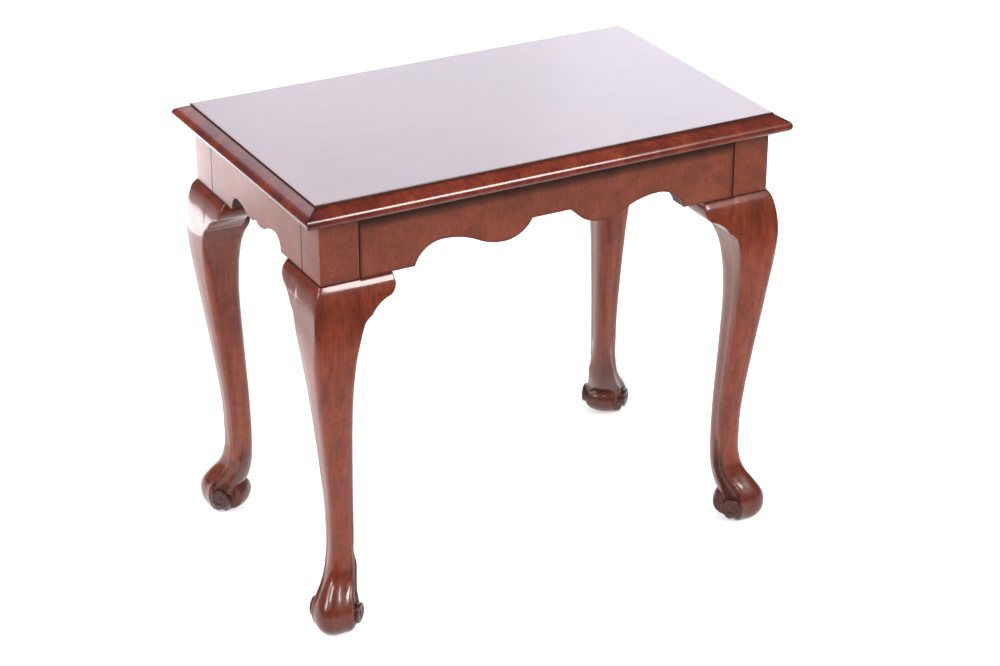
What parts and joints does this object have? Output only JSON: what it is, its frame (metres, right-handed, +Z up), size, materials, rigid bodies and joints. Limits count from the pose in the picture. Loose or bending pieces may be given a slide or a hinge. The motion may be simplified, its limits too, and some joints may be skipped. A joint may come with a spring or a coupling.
{
  "type": "tray top tea table",
  "caption": "Low oblong tea table with a raised banded top, rounded edge moulding, shaped aprons, cabriole legs, knee brackets and scroll feet.",
  "frame": {"origin": "on the floor under the middle of the top", "axes": "+X along the length to the right seen from the front, +Y to the back, +Z up"},
  "size_m": [0.571, 0.352, 0.496],
  "materials": {
    "leg_walnut": "polished reddish walnut, grain along the leg",
    "bracket_walnut": "polished reddish walnut",
    "rail_walnut": "walnut rail, polished lower edge, plain inside",
    "frieze_veneer": "polished walnut veneer with upright grain",
    "top_veneer": "polished figured walnut veneer, grain along the length",
    "crossband_veneer": "polished walnut crossbanding, grain across the edge",
    "moulding_walnut": "polished cross-grain walnut moulding",
    "core_wood": "plain softwood groundwork, stained dark below",
    "block_wood": "plain softwood, rubbed in with glue",
    "screw_steel": "dull hand-cut steel screws"
  },
  "bodies": {
    "root": {"leg_front_left": "leg_walnut", "leg_front_right": "leg_walnut", "leg_back_left": "leg_walnut", "leg_back_right": "leg_walnut", "knee_bracket_front_left": "bracket_walnut", "knee_bracket_front_right": "bracket_walnut", "knee_bracket_back_left": "bracket_walnut", "knee_bracket_back_right": "bracket_walnut", "side_bracket_left_front": "bracket_walnut", "side_bracket_left_back": "bracket_walnut", "side_bracket_right_front": "bracket_walnut", "side_bracket_right_back": "bracket_walnut", "front_rail": "rail_walnut", "back_rail": "rail_walnut", "left_rail": "rail_walnut", "right_rail": "rail_walnut", "frieze_veneer_front": "frieze_veneer", "frieze_veneer_back": "frieze_veneer", "frieze_veneer_left": "frieze_veneer", "frieze_veneer_right": "frieze_veneer", "top_core": "core_wood", "top_field_veneer": "top_veneer", "crossband_front": "crossband_veneer", "crossband_back": "crossband_veneer", "crossband_left": "crossband_veneer", "crossband_right": "crossband_veneer", "edge_moulding_front": "moulding_walnut", "edge_moulding_back": "moulding_walnut", "edge_moulding_left": "moulding_walnut", "edge_moulding_right": "moulding_walnut", "glue_block_front_left": "block_wood", "glue_block_front_right": "block_wood", "glue_block_back_left": "block_wood", "glue_block_back_right": "block_wood", "glue_block_left": "block_wood", "glue_block_right": "block_wood", "glue_block_screws": "screw_steel"}
  },
  "joints": []
}
